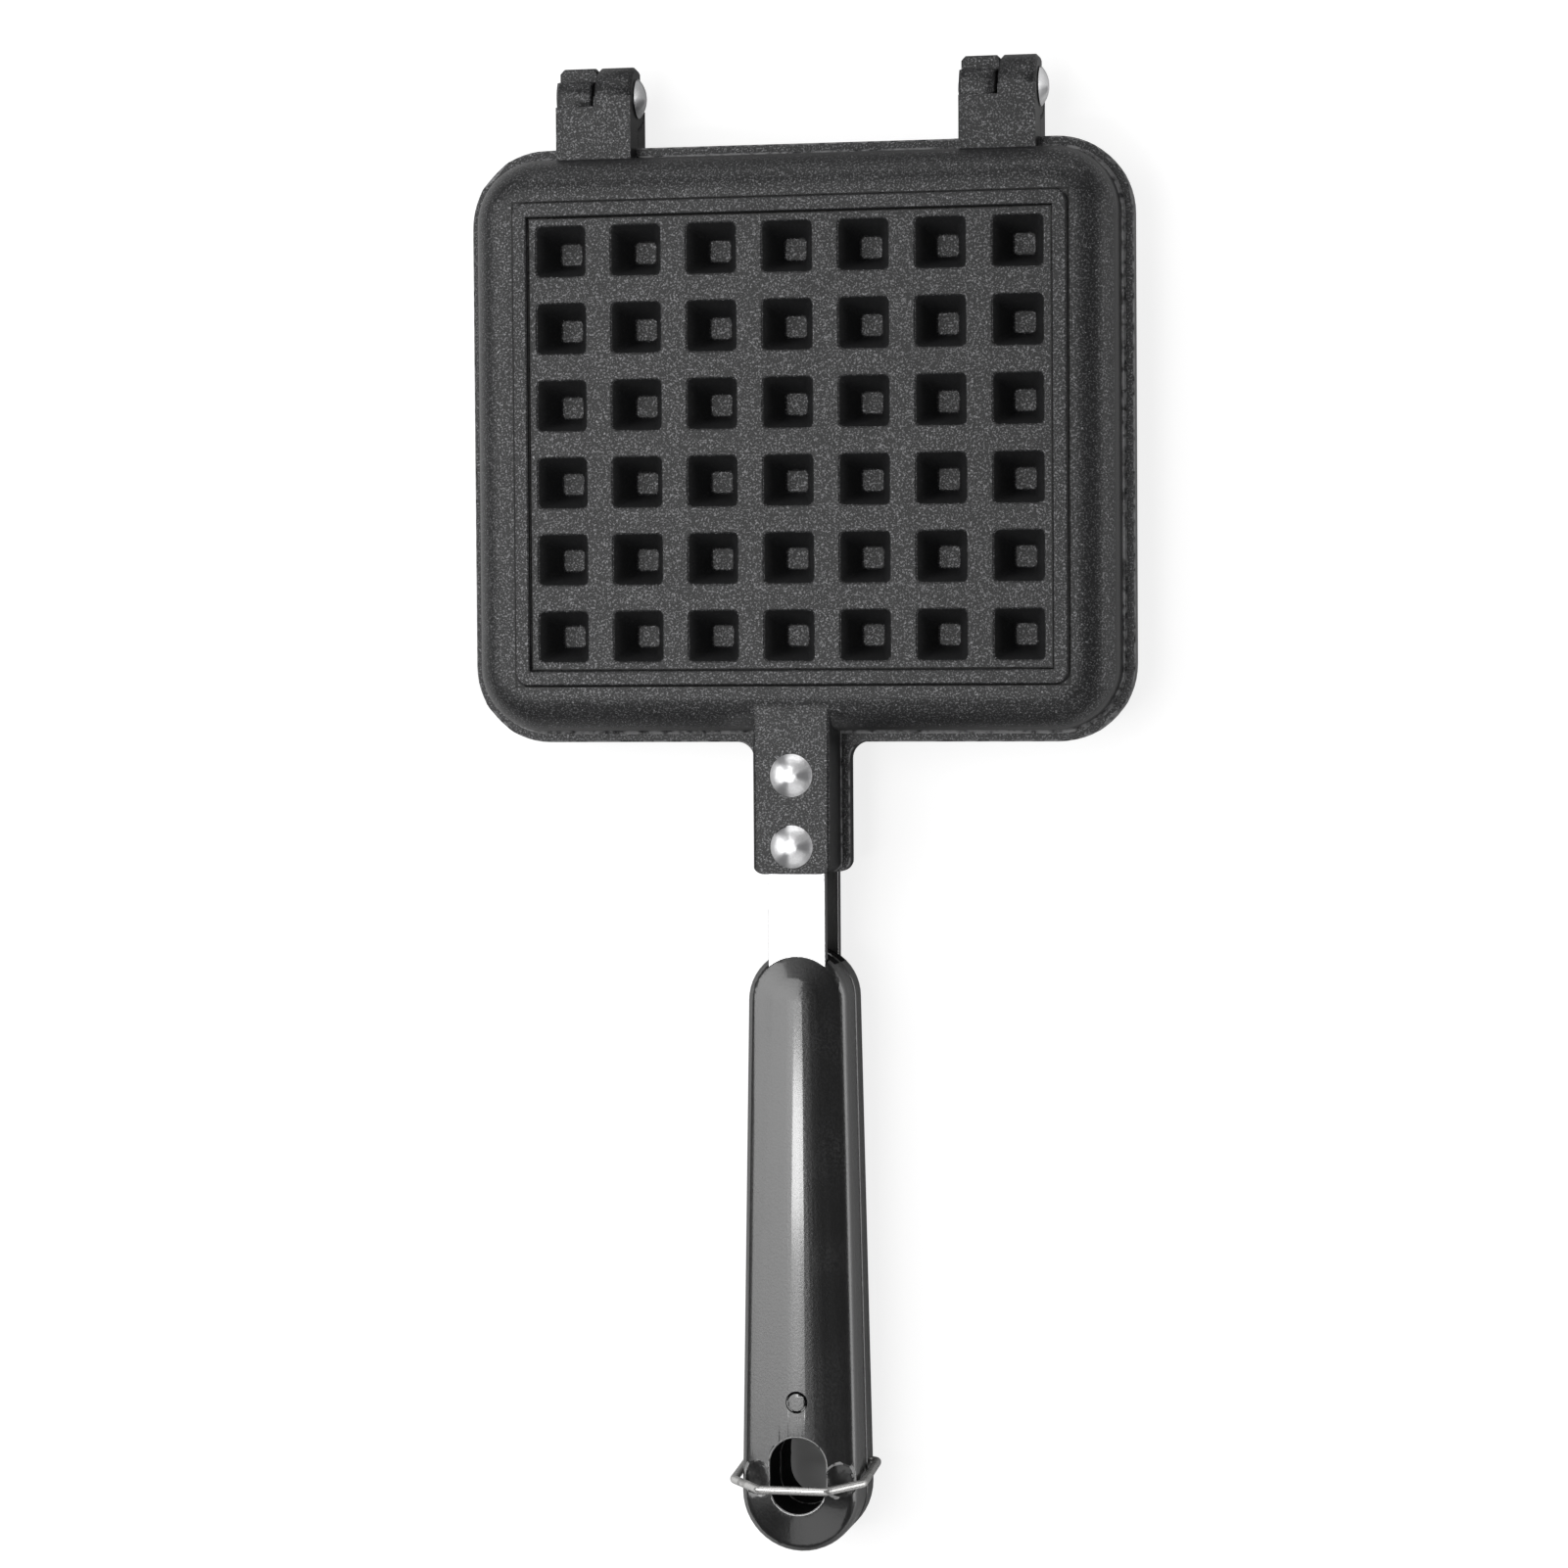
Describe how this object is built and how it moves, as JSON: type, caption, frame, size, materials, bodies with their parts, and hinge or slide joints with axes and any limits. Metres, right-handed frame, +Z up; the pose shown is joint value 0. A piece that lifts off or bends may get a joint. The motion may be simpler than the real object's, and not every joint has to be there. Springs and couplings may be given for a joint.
{
  "type": "egg waffle pan",
  "caption": "Stove-top waffle pan: two hinged cast plates with pocketed backs, long moulded handles on steel straps and a wire bail that holds them shut.",
  "frame": {"origin": "middle of the whole length and width, on the plane that the shut pan rests on, which is the ridge on the back of the lower plate", "axes": "+Z up through the shut plates, +Y from the handles towards the hinge, +X to the right, along the hinge axis"},
  "size_m": [0.158, 0.3494, 0.0369],
  "materials": {
    "coated_casting": "satin non-stick coating with a fine light speckle on cast aluminium",
    "moulded_handle": "glossy black moulded thermoset",
    "strap_steel": "bright plated steel",
    "rivet_metal": "bright, lightly worked surface",
    "bail_wire": "drawn bright wire"
  },
  "bodies": {
    "lower_half": {"lower_plate": "coated_casting", "lower_strap": "strap_steel", "lower_handle": "moulded_handle", "lower_rivet_inner": "rivet_metal", "lower_rivet_outer": "rivet_metal", "hinge_pin_left": "rivet_metal", "hinge_pin_right": "rivet_metal"},
    "upper_half": {"upper_plate": "coated_casting", "upper_strap": "strap_steel", "upper_handle": "moulded_handle", "upper_rivet_inner": "rivet_metal", "upper_rivet_outer": "rivet_metal"},
    "bail_wire": {"bail": "bail_wire"}
  },
  "joints": [
    {"name": "pan_open", "type": "hinge", "parent": "lower_half", "child": "upper_half", "pos_m": [0, 0.1673, 0.0168], "axis": [-1, 0, 0], "range_deg": [0, 180]},
    {"name": "bail_swing", "type": "hinge", "parent": "lower_half", "child": "bail_wire", "pos_m": [0, -0.1556, 0.01], "axis": [1, 0, 0], "range_deg": [-35, 103]}
  ]
}
